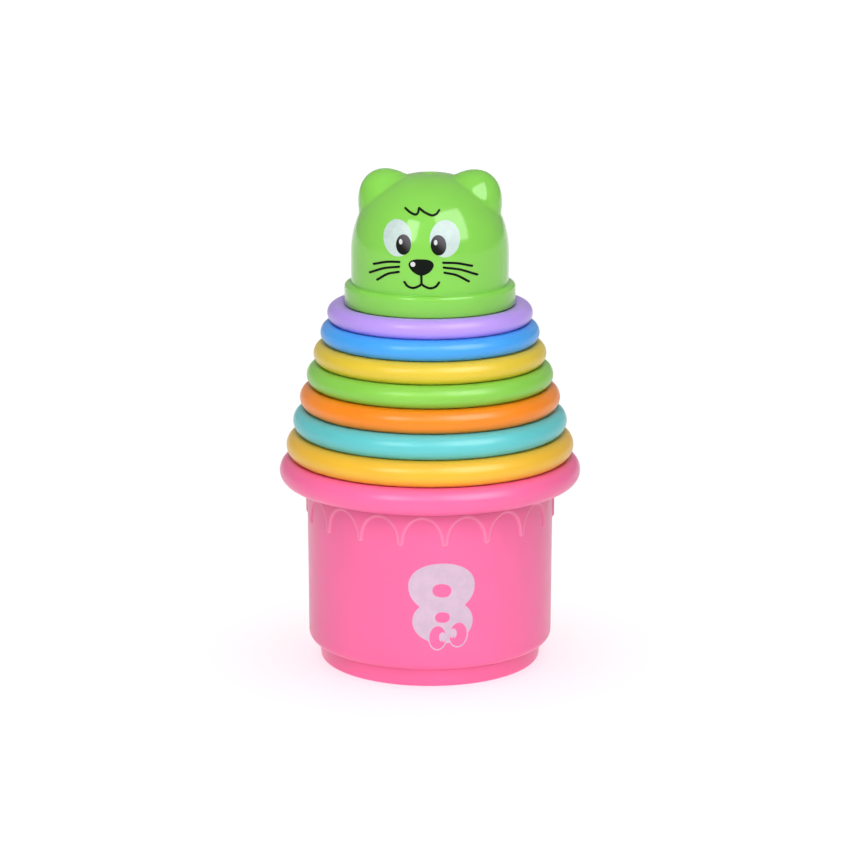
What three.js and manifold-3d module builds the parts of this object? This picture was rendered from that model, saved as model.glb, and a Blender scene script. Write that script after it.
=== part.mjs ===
// Nesting cup tower with a cat's-head cap. Millimetres, +Z up.
// The origin is the middle of the base of the largest cup, on the surface that it stands on.
// Eight thin cups stand one inside the next, each rolled rim resting on the rim of the cup around it,
// and a hollow cat's head closes the mouth of the smallest cup. Every cup follows the same rules, so one
// function makes them all from its place in the set (0 is the largest).
import * as THREE from "three";
import { mergeVertices } from "three/addons/utils/BufferGeometryUtils.js";
import Module from "manifold-3d";

const wasm = await Module();
wasm.setup();

// Driving dimensions of the set
const largestRimRadius = 54; // outside of the largest rolled rim
const rimRadiusStep = 2.5; // from one cup's rim to the next
const largestBeadRadius = 4.75; // half the thickness of the largest rolled rim
const beadRadiusStep = 0.17; // rims get a little thinner as the cups get smaller
const largestCupHeight = 74.6;
const cupHeightStep = 3.6;
const seatGap = 0.16; // between a rim and what rests on it

// Driving dimensions of one cup
const wallThickness = 1.4;
const wallInset = 0.3; // the wall stands this far inside the rim's inner edge
const wallDraft = 0.25; // the wall narrows by this much from rim to shoulder
const footHeight = 7;
const footClearance = 0.3; // an upturned foot in the mouth of the next smaller cup
const footTaper = 0.8; // the foot narrows by this much towards the base
const footFillet = 1.4;
const floorThickness = 1.6;
const baseRingWidth = 3; // the ring that the cup stands on
const baseRecess = 0.8; // the middle of the base is this much higher than the ring

// Driving dimensions of the cat's head
const collarInset = 2.6; // the collar's outside to the crest of the rim that it sits on
const collarHeight = 7.6;
const collarShoulder = 1.4; // rounding of the collar's upper edge
const collarFillet = 0.5;
const collarStep = 2.4; // the collar stands this far outside the head
const crownHeight = 46.4; // collar's underside to the top of the head
const domeRise = 29.4; // the part of the head that curves in to the crown
const domePower = 2.25; // 2 is a plain ellipse; more is squarer
const spigotDepth = 3; // the locating ring reaches this far below the collar
const earOffset = 10; // ear's middle from the head's axis
const earDrop = 16.9; // ear's middle below the crown
const earWidth = 13;
const earDepth = 12;
const earLength = 20;
const earLean = THREE.MathUtils.degToRad(33);
const headTurn = THREE.MathUtils.degToRad(-5.4); // the face looks a little to one side

// Fineness
const roundSegments = 28;
const earSegments = 16;
const earRings = 10;

const cupColours = [
  ["cup_8", 0xfe79b0],
  ["cup_7", 0xf9cb4b],
  ["cup_6", 0x75d8dd],
  ["cup_5", 0xfe9830],
  ["cup_4", 0x97db5f],
  ["cup_3", 0xeed24b],
  ["cup_2", 0x55b3fd],
  ["cup_1", 0xbc9ef8],
];
const headColour = 0x8cdc5c;

// Sizes that follow from the driving ones, for cup number n (0 is the largest)
const rimRadius = (n) => largestRimRadius - n * rimRadiusStep;
const beadRadius = (n) => largestBeadRadius - n * beadRadiusStep;
const beadCentre = (n) => rimRadius(n) - beadRadius(n);
const wallRadius = (n) => rimRadius(n) - 2 * beadRadius(n) - wallInset;
const mouthRadius = (n) => wallRadius(n) - wallThickness;
const footRadius = (n) => mouthRadius(n + 1) - footClearance;
const cupHeight = (n) => largestCupHeight - n * cupHeightStep;

// A rim rests on the one below where the two round beads meet, so the step up is one side of a right
// triangle whose long side joins the beads' middles.
function rimStep(n) {
  const apart = beadRadius(n) + beadRadius(n + 1) + seatGap;
  const inwards = beadCentre(n) - beadCentre(n + 1);
  return Math.sqrt(apart ** 2 - inwards ** 2);
}

function beadLevel(n) {
  return n === 0 ? largestCupHeight - largestBeadRadius : beadLevel(n - 1) + rimStep(n - 1);
}

// Height of a rim's upper side at a radius between its crest and its mouth, where it is a quarter-ellipse.
function rimTop(n, radius) {
  const across = (beadCentre(n) - radius) / (beadCentre(n) - mouthRadius(n));
  return beadLevel(n) + beadRadius(n) * Math.sqrt(1 - across ** 2);
}

const footLevel = (n) => beadLevel(n) + beadRadius(n) - cupHeight(n);

// Points on an elliptical arc from one angle to another, in degrees, both ends included.
function arc(centreR, centreZ, radiusR, radiusZ, from, to, steps) {
  return Array.from({ length: steps + 1 }, (_, i) => {
    const angle = THREE.MathUtils.degToRad(from + ((to - from) * i) / steps);
    return [centreR + radiusR * Math.cos(angle), centreZ + radiusZ * Math.sin(angle)];
  });
}

// A closed solid of revolution about Z from a profile of [radius, height] that ends on the axis twice.
// The profile runs so that the outside comes first, from the bottom up.
function turned(profile) {
  const points = profile.map(([r, z]) => new THREE.Vector2(r, z));
  const geometry = new THREE.LatheGeometry(points, roundSegments);
  geometry.rotateX(Math.PI / 2);
  return geometry;
}

function toSolid(geometry) {
  const bare = geometry.clone();
  bare.deleteAttribute("normal");
  bare.deleteAttribute("uv");
  const merged = mergeVertices(bare, 1e-4);
  return new wasm.Manifold(
    new wasm.Mesh({
      numProp: 3,
      vertProperties: new Float32Array(merged.attributes.position.array),
      triVerts: new Uint32Array(merged.index.array),
    }),
  );
}

function toGeometry(solid) {
  const mesh = solid.getMesh();
  const geometry = new THREE.BufferGeometry();
  geometry.setAttribute("position", new THREE.BufferAttribute(mesh.vertProperties, 3));
  geometry.setIndex(new THREE.BufferAttribute(mesh.triVerts, 1));
  return geometry;
}

function named(name, geometry, color) {
  const material = new THREE.MeshStandardMaterial({ color, roughness: 0.25, metalness: 0 });
  const mesh = new THREE.Mesh(geometry, material);
  mesh.name = name;
  return mesh;
}

// One cup, with its base at height 0: recessed base, tapered foot, rounded shoulder, wall and a rim that is
// rolled outwards and left open underneath, like the lip of a moulded bucket.
function cupProfile(n) {
  const foot = footRadius(n);
  const baseEdge = foot - footTaper;
  const ringOutside = baseEdge - footFillet;
  const bead = beadRadius(n);
  const middle = beadCentre(n);
  const rimLevel = cupHeight(n) - bead;
  const wallTop = wallRadius(n);
  const wallFoot = wallTop - wallDraft;
  const shoulder = wallFoot - foot;
  const innerShoulder = shoulder - wallThickness;
  const floorTop = baseRecess + floorThickness;
  const lip = bead - wallThickness;
  const base = [
    [0, baseRecess],
    [ringOutside - baseRingWidth, baseRecess],
    [ringOutside - baseRingWidth, 0],
    [ringOutside, 0],
    [baseEdge, footFillet],
  ];
  const outerShoulder = arc(foot, footHeight + shoulder, shoulder, shoulder, -90, 0, 2);
  const rollInside = [
    ...arc(middle, rimLevel, middle - wallTop, lip, 180, 90, 2),
    ...arc(middle, rimLevel, lip, lip, 45, -90, 3),
  ];
  const rollOutside = [
    ...arc(middle, rimLevel, bead, bead, -90, 90, 6),
    ...arc(middle, rimLevel, middle - mouthRadius(n), bead, 135, 180, 1),
  ];
  const inside = [
    ...arc(foot, footHeight + shoulder, innerShoulder, innerShoulder, 0, -90, 1),
    [foot - wallThickness, footHeight],
    [baseEdge - wallThickness, floorTop],
    [0, floorTop],
  ];
  return [...base, ...outerShoulder, ...rollInside, ...rollOutside, ...inside];
}

// The head's outline above the collar: straight at first, then a squarish half-ellipse up to the crown.
function domeOutline(radius, bottom, top, rise) {
  const spring = top - rise;
  const angles = [0, 18, 34, 48, 60, 70, 80, 90];
  const curve = angles.map((degrees) => {
    const angle = THREE.MathUtils.degToRad(degrees);
    const across = Math.cos(angle) ** (2 / domePower);
    const up = Math.sin(angle) ** (2 / domePower);
    return degrees === 90 ? [0, top] : [radius * across, spring + rise * up];
  });
  return [[radius, bottom], ...curve];
}

function ear(side, inset) {
  const geometry = new THREE.SphereGeometry(1, earSegments, earRings);
  geometry.rotateX(Math.PI / 2);
  geometry.scale(earWidth - inset, earDepth - inset, earLength - inset);
  geometry.rotateY(side * earLean);
  geometry.translate(side * earOffset, 0, crownHeight - earDrop);
  geometry.rotateZ(headTurn);
  return toSolid(geometry);
}

// The cat's head, with the collar's underside at height 0. It is one hollow shell: the collar rests on the
// smallest cup's rim, and a ring inside it drops into that cup's mouth. The ring is as wide inside as the
// upturned foot of that cup needs, so the head also tops the cups when they are stacked upside down.
function headGeometry(n) {
  const collar = beadCentre(n) - collarInset;
  const head = collar - collarStep;
  const spigotInside = footRadius(n) + footClearance;
  const spigotOutside = spigotInside + wallThickness;
  const grooveTop = collarHeight - 2 * wallThickness;
  const outline = domeOutline(head, collarHeight, crownHeight, domeRise);
  const outside = turned([
    [0, -spigotDepth],
    [spigotOutside, -spigotDepth],
    [spigotOutside, grooveTop],
    [collar - wallThickness, grooveTop],
    [collar - wallThickness, 0],
    [collar - collarFillet, 0],
    [collar, collarFillet],
    ...arc(collar - collarShoulder, collarHeight - collarShoulder, collarShoulder, collarShoulder, 0, 90, 2),
    ...outline,
  ]);
  const cavityTop = crownHeight - wallThickness;
  const cavity = turned([
    [0, -2 * spigotDepth],
    [spigotInside, -2 * spigotDepth],
    [spigotInside, collarHeight],
    ...domeOutline(head - wallThickness, collarHeight + wallThickness, cavityTop, domeRise - wallThickness),
  ]);
  const shell = toSolid(outside).add(ear(-1, 0)).add(ear(1, 0));
  const hollow = toSolid(cavity).add(ear(-1, wallThickness)).add(ear(1, wallThickness));
  return toGeometry(shell.subtract(hollow));
}

const tower = new THREE.Group();

cupColours.forEach(([name, color], n) => {
  const cup = named(name, turned(cupProfile(n)), color);
  cup.position.z = footLevel(n);
  tower.add(cup);
});

const last = cupColours.length - 1;
const catHead = named("cat_head", headGeometry(last), headColour);
catHead.position.z = rimTop(last, beadCentre(last) - collarInset) + seatGap;
tower.add(catHead);

export default tower;
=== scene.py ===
"""Looks of the nesting cup tower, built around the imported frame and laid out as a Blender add-on.

Each cup and the cat's head is replaced by a finely moulded shell, and the printed face and numerals are thin
raised ink on those shells. Sizes are in metres. Rims, bases and heights come from the boxes of the nodes.
"""

import math

import bpy
import numpy as np
from bpy.props import FloatProperty, FloatVectorProperty, IntProperty, PointerProperty
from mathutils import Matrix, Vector


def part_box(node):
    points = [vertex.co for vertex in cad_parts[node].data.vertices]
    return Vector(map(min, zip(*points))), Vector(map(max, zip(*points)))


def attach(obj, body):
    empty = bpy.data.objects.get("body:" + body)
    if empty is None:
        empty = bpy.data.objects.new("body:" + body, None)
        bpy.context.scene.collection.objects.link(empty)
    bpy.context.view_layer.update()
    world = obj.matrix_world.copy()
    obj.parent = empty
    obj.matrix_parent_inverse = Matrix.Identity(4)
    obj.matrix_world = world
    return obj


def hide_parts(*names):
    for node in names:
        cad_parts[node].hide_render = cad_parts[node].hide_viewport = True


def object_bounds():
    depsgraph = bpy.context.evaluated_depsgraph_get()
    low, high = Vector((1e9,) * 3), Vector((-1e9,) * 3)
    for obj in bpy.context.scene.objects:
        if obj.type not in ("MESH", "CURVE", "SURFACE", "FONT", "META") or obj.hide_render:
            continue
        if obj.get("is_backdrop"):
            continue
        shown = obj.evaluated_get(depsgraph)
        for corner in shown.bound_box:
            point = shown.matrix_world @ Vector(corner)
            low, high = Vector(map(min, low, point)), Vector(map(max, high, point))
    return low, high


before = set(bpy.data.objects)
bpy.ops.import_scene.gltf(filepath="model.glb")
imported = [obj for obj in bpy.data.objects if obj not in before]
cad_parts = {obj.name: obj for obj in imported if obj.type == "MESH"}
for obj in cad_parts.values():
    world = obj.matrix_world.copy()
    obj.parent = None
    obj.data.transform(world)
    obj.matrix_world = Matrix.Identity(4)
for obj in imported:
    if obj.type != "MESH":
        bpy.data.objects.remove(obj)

bl_info = {
    "name": "Stacking Cup Tower",
    "version": (1, 0, 0),
    "blender": (4, 5, 0),
    "location": "View3D > Sidebar > Cup Tower",
    "description": "Nested stacking cups under a cat's-head cap, with their prints, a floor and soft lights",
    "category": "Object",
}

CAD_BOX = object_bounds()
MM = 0.001
CUP_GLOSS = 0.29
HEAD_GLOSS = 0.1
CUPS = ["cup_8", "cup_7", "cup_6", "cup_5", "cup_4", "cup_3", "cup_2", "cup_1"]
HEAD = "cat_head"
TINTS = ["pink", "amber", "teal", "orange", "green", "yellow", "blue", "lilac", "leaf_green"]
PLASTICS = {node: tint + "_plastic" for node, tint in zip([*CUPS, HEAD], TINTS)}


# Settings ---------------------------------------------------------------------------------------------


def length(name, millimetres, description):
    """A setting that is a length."""
    return FloatProperty(name=name, default=millimetres * MM, unit="LENGTH", description=description)


def angle(name, degrees, description):
    """A setting that is an angle."""
    return FloatProperty(name=name, default=math.radians(degrees), unit="ROTATION", description=description)


def colour(name, default, description):
    """A setting that is a colour."""
    return FloatVectorProperty(name=name, default=default, subtype="COLOR", description=description)


class CupSettings(bpy.types.PropertyGroup):
    """Sizes that all the cups share; their rims, heights and places come from the frame."""

    bead: length("Rim half thickness", 4.75, "Half the thickness of the largest rolled rim")
    bead_step: length("Rim thickness step", 0.17, "How much less that is on the next smaller cup")
    wall: length("Wall", 1.4, "Thickness of the plastic")
    wall_inset: length("Wall inset", 0.3, "From the rolled rim's inner edge in to the wall")
    draft: length("Draft", 0.25, "How much the wall narrows from the rim to the shoulder")
    foot_height: length("Foot height", 7, "Height of the narrower foot")
    foot_clearance: length("Foot clearance", 0.3, "From the foot to the mouth of the next smaller cup")
    foot_taper: length("Foot taper", 0.8, "How much the foot narrows towards the base")
    rounding: length("Base rounding", 1.4, "Rounding of the foot's lower edge")
    ring: length("Base ring", 3, "Width of the ring that a cup stands on")
    recess: length("Base recess", 0.8, "How much higher the middle of the base is than its ring")
    floor: length("Floor", 1.6, "Thickness of a cup's floor")
    drips: IntProperty(
        name="Drips", default=18, min=3,
        description="Raised drips round a cup under its rim")
    drip_turn: angle("Drip angle", 6.6, "Where one drip stands, from the front towards +X")
    drip_relief: length("Drip relief", 0.6, "How far the drips stand out of the wall")
    drip_edge: length("Drip edge", 0.85, "Width of the rounded edge of a drip")
    drip_ridge: length("Drip ridge", 0.08, "Height of the fine ridge along the edge of a drip")
    drip_tip: length("Drip tip", 1.1, "Radius of a drip's round tip on the largest cup")
    drip_drop: length("Drip drop", 7.45, "From the rim's middle down to the tops of the arches")
    drip_arch: length("Drip arch", 8.75, "Height of the arches between the drips on the largest cup")


class HeadSettings(bpy.types.PropertyGroup):
    """Sizes of the cat's head."""

    collar_height: length("Collar height", 7.6, "Height of the collar that sits on the smallest rim")
    collar_step: length("Collar step", 2.4, "How far the collar stands outside the head")
    collar_shoulder: length("Collar shoulder", 1.4, "Rounding of the collar's upper edge")
    collar_rounding: length("Collar rounding", 0.5, "Rounding of the collar's lower edge")
    ring_depth: length("Ring depth", 3, "How far the locating ring reaches below the collar")
    ring_clearance: length("Ring clearance", 0.3, "From the ring to an upturned foot of the smallest cup")
    wall: length("Wall", 1.4, "Thickness of the plastic")
    rise: length("Dome rise", 29.4, "The part of the head that curves in to the crown")
    crown: length("Crown height", 46.4, "From the collar's underside to the top of the dome")
    power: FloatProperty(
        name="Dome power", default=2.25, min=2.0, max=4.0,
        description="2 is a plain ellipse, and more is squarer")
    ear_offset: length("Ear offset", 10, "From the head's axis to the middle of an ear")
    ear_drop: length("Ear drop", 16.9, "From the crown down to the middle of an ear")
    ear_half: FloatVectorProperty(
        name="Ear size", default=(13.0 * MM, 12.0 * MM, 20.0 * MM), size=3, unit="LENGTH",
        description="Half the width, depth and length of an ear")
    ear_lean: angle("Ear lean", 33, "How far the ears lean outwards")
    crease: length("Ear crease", 0.9, "Softness of the crease where an ear meets the dome")
    gate: length("Gate mark", 2.9, "Radius of the moulding mark on the crown")
    gate_depth: length("Gate depth", 0.35, "Depth of the moulding mark")
    face_turn: angle("Face turn", -5.4, "Turn of the face about the axis; less than zero is towards -X")
    face_lean: angle("Face lean", 1.4, "Lean of the printed face from upright, towards -X")


class InkSettings(bpy.types.PropertyGroup):
    """Sizes of the printed ink."""

    film: length("Film", 0.04, "Thickness of one layer of ink")
    grid: length("Grid", 0.17, "Fineness of the ink's mesh")
    line: length("Line", 0.82, "Width of the drawn lines")
    numeral_turn: angle("Numeral angle", 5.7, "Where the numerals stand, from the front towards +X")
    numeral_share: FloatProperty(
        name="Numeral share", default=0.69, min=0.1, max=0.9,
        description="Height of a numeral as a share of the clear wall")


class ColourSettings(bpy.types.PropertyGroup):
    """Colours of the plastics, inks and floor."""

    cup_8: colour("Cup 8", (0.93, 0.14, 0.35), "Pink plastic")
    cup_7: colour("Cup 7", (0.86, 0.475, 0.03), "Amber plastic")
    cup_6: colour("Cup 6", (0.115, 0.55, 0.57), "Teal plastic")
    cup_5: colour("Cup 5", (0.93, 0.24, 0.006), "Orange plastic")
    cup_4: colour("Cup 4", (0.24, 0.6, 0.07), "Green plastic")
    cup_3: colour("Cup 3", (0.74, 0.53, 0.035), "Yellow plastic")
    cup_2: colour("Cup 2", (0.05, 0.345, 0.86), "Blue plastic")
    cup_1: colour("Cup 1", (0.45, 0.29, 0.84), "Lilac plastic")
    cat_head: colour("Cat's head", (0.22, 0.6, 0.075), "Leaf green plastic")
    white_ink: colour("White ink", (0.49, 0.595, 0.57), "Ink of the eyes")
    black_ink: colour("Black ink", (0.004, 0.006, 0.004), "Ink of the lines")
    numeral_ink: colour("Numeral ink", (0.61, 0.455, 0.58), "Ink of the numerals")
    floor: colour("Floor", (0.93, 0.93, 0.93), "Pale floor")


class StageSettings(bpy.types.PropertyGroup):
    """The camera, floor and lights."""

    distance: FloatProperty(
        name="Camera distance", default=1.0039, unit="LENGTH",
        description="From the camera to the point that it looks at")
    elevation: angle("Camera elevation", 13.26, "How far the camera looks down")
    aim: length("Camera aim", 83.6, "Height of the point that the camera looks at")
    lens: FloatProperty(
        name="Lens", default=117.1, unit="CAMERA",
        description="Focal length in millimetres on a 36 mm sensor")
    floor: FloatProperty(
        name="Floor size", default=12.0, unit="LENGTH",
        description="Width of the floor")
    light_distance: FloatProperty(
        name="Light distance", default=1.2, unit="LENGTH",
        description="From the middle of the tower to the softboxes")
    sky: FloatProperty(
        name="Sky", default=0.12, min=0.0,
        description="Brightness of the plain white surroundings as a light")
    horizon: FloatProperty(
        name="Horizon", default=0.4, min=0.0,
        description="Brightness of the surroundings seen level, directly or in the gloss")
    zenith: FloatProperty(
        name="Zenith", default=0.4, min=0.0,
        description="Brightness of the surroundings seen straight up, directly or in the gloss")


# Meshes -----------------------------------------------------------------------------------------------


def put_mesh(name, points, faces, material, sharp=None):
    """A smooth mesh object at the origin, from an array of points and a list of arrays of faces."""
    mesh = bpy.data.meshes.new(name)
    corners = np.concatenate([f.ravel() for f in faces]).astype(np.int32)
    sizes = np.concatenate([np.full(len(f), f.shape[1]) for f in faces])
    starts = np.concatenate([[0], np.cumsum(sizes)[:-1]]).astype(np.int32)
    mesh.vertices.add(len(points))
    mesh.vertices.foreach_set("co", np.asarray(points, np.float32).ravel())
    mesh.loops.add(len(corners))
    mesh.loops.foreach_set("vertex_index", corners)
    mesh.polygons.add(len(starts))
    mesh.polygons.foreach_set("loop_start", starts)
    mesh.update(calc_edges=True)
    mesh.polygons.foreach_set("use_smooth", np.ones(len(starts), bool))
    if sharp:
        mesh.set_sharp_from_angle(angle=sharp)
    mesh.materials.append(material)
    piece = bpy.data.objects.new(name, mesh)
    bpy.context.scene.collection.objects.link(piece)
    return piece


def mark_points(piece, name, values):
    """Keep a number at each point of a mesh for its material to read."""
    marks = piece.data.attributes.new(name, "FLOAT", "POINT")
    marks.data.foreach_set("value", np.asarray(values, np.float32))


def stand_for(piece, node):
    """The piece moves with the node's body and hides it."""
    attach(piece, node)
    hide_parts(node)


def revolved(radius, height, angles):
    """Points and faces of a closed surface round the axis, from rows by columns of radius and height.

    A point is (radius cos angle, radius sin angle, height). A pole on the axis closes the first and the last
    row, each at the mean height of its row. Rows run from the underside outwards and up, so faces look out.
    """
    rows, columns = radius.shape
    grid = np.stack([radius * np.cos(angles), radius * np.sin(angles), height], axis=-1).reshape(-1, 3)
    poles = np.array([[0.0, 0.0, height[0].mean()], [0.0, 0.0, height[-1].mean()]])
    points = np.concatenate([poles[:1], grid, poles[1:]])
    column = np.arange(columns)
    beyond = (column + 1) % columns
    here = 1 + np.arange(rows - 1)[:, None] * columns
    above = here + columns
    quads = np.stack([here + column, here + beyond, above + beyond, above + column], axis=-1)
    last = 1 + (rows - 1) * columns
    start = np.stack([np.zeros_like(column), 1 + beyond, 1 + column], axis=-1)
    end = np.stack([np.full_like(column, last + columns), last + column, last + beyond], axis=-1)
    return points, [quads.reshape(-1, 4), start, end]


def bend(middle, radii, start, end, steps):
    """An elliptical arc: middle + (radii[0] cos t, radii[1] sin t), with t in degrees from start to end."""
    t = np.radians(np.linspace(start, end, steps + 1))
    return np.stack([middle[0] + radii[0] * np.cos(t), middle[1] + radii[1] * np.sin(t)], axis=-1)


def rounded_path(corners, spacing):
    """A path of straight runs with rounded corners, from rows of (radius, height, rounding).

    The arc at a corner touches both runs at rounding / tan(half the angle between them), and turns about a
    middle on the line that halves that angle. Runs are divided evenly at about the spacing.
    """
    corners = np.asarray(corners, float)
    places, roundings = corners[:, :2], corners[:, 2]
    pieces = [places[:1]]
    for before, corner, after, rounding in zip(places, places[1:], places[2:], roundings[1:]):
        back = (before - corner) / np.linalg.norm(before - corner)
        on = (after - corner) / np.linalg.norm(after - corner)
        half = math.acos(np.clip(back @ on, -1.0, 1.0)) / 2
        middle = corner + (back + on) / np.linalg.norm(back + on) * rounding / math.sin(half)
        first = corner + back * rounding / math.tan(half) - middle
        final = corner + on * rounding / math.tan(half) - middle
        sweep = math.pi - 2 * half
        share = np.linspace(0.0, 1.0, max(4, round(sweep / math.radians(11))))[:, None]
        arc = middle + (np.sin((1 - share) * sweep) * first + np.sin(share * sweep) * final) / math.sin(sweep)
        pieces += [between(pieces[-1][-1], arc[0], spacing), arc]
    pieces += [between(pieces[-1][-1], places[-1], spacing), places[-1:]]
    return np.concatenate(pieces)


def between(start, end, spacing):
    """Evenly spaced points strictly between two points, at about the spacing."""
    steps = max(1, round(np.linalg.norm(np.subtract(end, start)) / spacing))
    share = np.linspace(0.0, 1.0, steps + 1)[1:-1, None]
    return np.asarray(start) * (1 - share) + np.asarray(end) * share


def soft_step(value):
    """0 below 0, 1 above 1, and 3 v^2 - 2 v^3 in between."""
    value = np.clip(value, 0.0, 1.0)
    return value * value * (3.0 - 2.0 * value)


# Cups -------------------------------------------------------------------------------------------------


class Cup:
    """Radii and levels of the cup at a place in the set (0 is the largest), from the frame's boxes."""

    def __init__(self, place):
        s = bpy.context.scene.tower_cups
        low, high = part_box(CUPS[place])
        self.base = low[2]
        self.rim = (high[0] - low[0]) / 2
        self.bead = s.bead - place * s.bead_step
        self.middle = self.rim - self.bead
        self.level = high[2] - self.bead
        self.wall = self.middle - self.bead - s.wall_inset
        self.mouth = self.wall - s.wall
        self.foot = self.mouth - self.rim_step() + 2 * s.bead_step - s.foot_clearance
        self.wall_foot = self.wall - s.draft
        self.shoulder = self.wall_foot - self.foot
        self.shoulder_top = self.base + s.foot_height + self.shoulder
        self.scale = self.wall / self.largest_wall()

    @staticmethod
    def rim_step():
        """How much smaller each rim is than the one around it."""
        low_a, high_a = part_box(CUPS[0])
        low_b, high_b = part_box(CUPS[1])
        return ((high_a[0] - low_a[0]) - (high_b[0] - low_b[0])) / 2

    @staticmethod
    def largest_wall():
        """Wall radius of the largest cup."""
        s = bpy.context.scene.tower_cups
        low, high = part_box(CUPS[0])
        return (high[0] - low[0]) / 2 - 2 * s.bead - s.wall_inset

    def wall_radius(self, height):
        """Radius of the outer wall at a height: a straight line from the shoulder to the rim."""
        share = (height - self.shoulder_top) / (self.level - self.shoulder_top)
        return self.wall_foot + (self.wall - self.wall_foot) * share


def cup_profile(cup, s, fine):
    """Profile of a cup, from the middle of its underside round the outside and the rim to its floor.

    The recessed base, its ring, the foot and the shoulder are runs with rounded corners. The rolled rim is a
    round bead outside and a quarter-ellipse inside, open underneath round a bent lip. The rows are closest
    where the drips are. Also gives which rows lie on the outer wall.
    """
    base, level, middle, bead, wall = cup.base, cup.level, cup.middle, cup.bead, s.wall
    base_edge = cup.foot - s.foot_taper
    ring_edge = base_edge - s.rounding - s.ring
    shoulder_level = base + s.foot_height
    drip_top = level - s.drip_drop * cup.scale + MM
    drip_foot = drip_top - (s.drip_arch + 2 * s.drip_tip) * cup.scale - MM
    lip = bead - wall
    under = rounded_path([
        (0.4 * MM, base + s.recess, 0),
        (ring_edge, base + s.recess, 0.3 * MM),
        (ring_edge, base, 0.3 * MM),
        (base_edge, base, s.rounding),
        (cup.foot, shoulder_level, 0.35 * MM),
        (cup.wall_foot, shoulder_level, cup.shoulder - 0.4 * MM),
        (cup.wall_radius(drip_foot), drip_foot, 0),
    ], 9 * MM)
    drips = between(under[-1], (cup.wall_radius(drip_top), drip_top), fine)
    upper = between(drips[-1], (cup.wall, level), 1.5 * MM)
    roll = np.concatenate([
        bend((middle, level), (middle - cup.wall, lip), 180, 90, 6)[:-1],
        bend((middle, level), (lip, lip), 90, -90, 12)[:-1],
        bend((middle, level - bead + wall / 2), (wall / 2, wall / 2), 90, 270, 6)[:-1],
        bend((middle, level), (bead, bead), -90, 90, 22)[:-1],
        bend((middle, level), (middle - cup.mouth, bead), 90, 180, 11),
    ])
    inside = rounded_path([
        (cup.mouth, level, 0),
        (cup.wall_foot - wall, shoulder_level + wall, cup.shoulder - wall),
        (cup.foot - wall, shoulder_level + wall, 0.6 * MM),
        (base_edge - wall, base + s.recess + s.floor, 0.8 * MM),
        (0.4 * MM, base + s.recess + s.floor, 0),
    ], 9 * MM)[1:]
    profile = np.concatenate([under, drips, upper, roll, inside])
    rows = np.arange(len(profile))
    outer = (rows >= len(under) - 1) & (rows < len(under) + len(drips) + len(upper))
    return profile, outer


def drip_relief(angles, heights, cup, s):
    """How far the drips stand out, and how near each place is to their edges: rows by columns.

    Between two drips the bare wall is an arch, the upper half of an ellipse. Below the arch's foot each drip
    ends in a half-circle. The distance to that outline is, above the foot, the ellipse's own function over
    its slope, and below it the distance to the circle; the relief climbs over the width of the drip's edge.
    A fine ridge, a bell curve across the outline, runs just inside it. Both fade out just under the rim.
    The faded bell curve is also given back as a painted highlight: it lightens the colour along the outline.
    """
    pitch = 2 * math.pi / s.drips
    around = np.mod(angles + math.pi / 2 - s.drip_turn + pitch / 2, pitch) - pitch / 2
    along = np.abs(around)[None, :] * cup.wall
    half_pitch = pitch * cup.wall / 2
    tip = s.drip_tip * cup.scale
    reach = half_pitch - tip
    rise = s.drip_arch * cup.scale
    foot = cup.level - s.drip_drop * cup.scale - rise
    up = (heights - foot)[:, None]
    off = half_pitch - along
    value = (off / reach) ** 2 + (up / rise) ** 2 - 1
    slope = 2 * np.sqrt((off / reach ** 2) ** 2 + (up / rise ** 2) ** 2) + 1e-9
    gap = np.where(up > 0, value / slope, tip - np.hypot(along, up))
    fade = soft_step((cup.level - heights) / (2 * MM))[:, None]
    edge = np.exp(-((gap - 0.4 * s.drip_edge) / (0.42 * s.drip_edge)) ** 2)
    # The second share is a painted highlight: the material lightens the colour by it along the drips'
    # outlines.
    return fade * (s.drip_relief * soft_step(0.5 + gap / s.drip_edge) + s.drip_ridge * edge), fade * edge


def make_cup(place, columns, fine):
    """One cup's shell: the profile carried round the axis, with the drips raised on its outer wall."""
    s = bpy.context.scene.tower_cups
    cup = Cup(place)
    profile, outer = cup_profile(cup, s, fine)
    angles = np.linspace(0.0, 2 * math.pi, columns, endpoint=False)
    drips = drip_relief(angles, profile[:, 1], cup, s)
    relief, edge = [np.where(outer[:, None], share, 0.0) for share in drips]
    radius = profile[:, :1] + relief
    height = np.repeat(profile[:, 1:], columns, axis=1)
    points, faces = revolved(radius, height, angles)
    node = CUPS[place]
    colour = getattr(bpy.context.scene.tower_colours, node)
    marks = [("radius", cup.rim - 0.35 * MM, cup.rim), ("height", cup.base + 0.5 * MM, cup.base)]
    material = moulded_plastic(PLASTICS[node], colour, place, marks, CUP_GLOSS)
    shell = put_mesh(node + "_shell", points, faces, material)
    # A painted highlight: the share near the drips' outlines, kept at each point so the material lightens the
    # colour there.
    mark_points(shell, "edge", np.concatenate([[0.0], edge.ravel(), [0.0]]))
    stand_for(shell, node)


# Cat's head -------------------------------------------------------------------------------------------


class Head:
    """Radii and levels of the cat's head, from its node's box and the smallest cup."""

    def __init__(self):
        s = bpy.context.scene.tower_head
        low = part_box(HEAD)[0]
        cup = Cup(len(CUPS) - 1)
        self.ring_foot = low[2]
        self.foot = self.ring_foot + s.ring_depth
        self.collar = (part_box(HEAD)[1][1] - low[1]) / 2
        self.radius = self.collar - s.collar_step
        self.collar_top = self.foot + s.collar_height
        self.crown = self.foot + s.crown
        self.ring_inside = cup.foot + s.ring_clearance
        self.ring_outside = self.ring_inside + s.wall
        self.groove = self.collar_top - 2 * s.wall
        self.heart = self.crown - s.rise + 3 * MM


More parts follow.
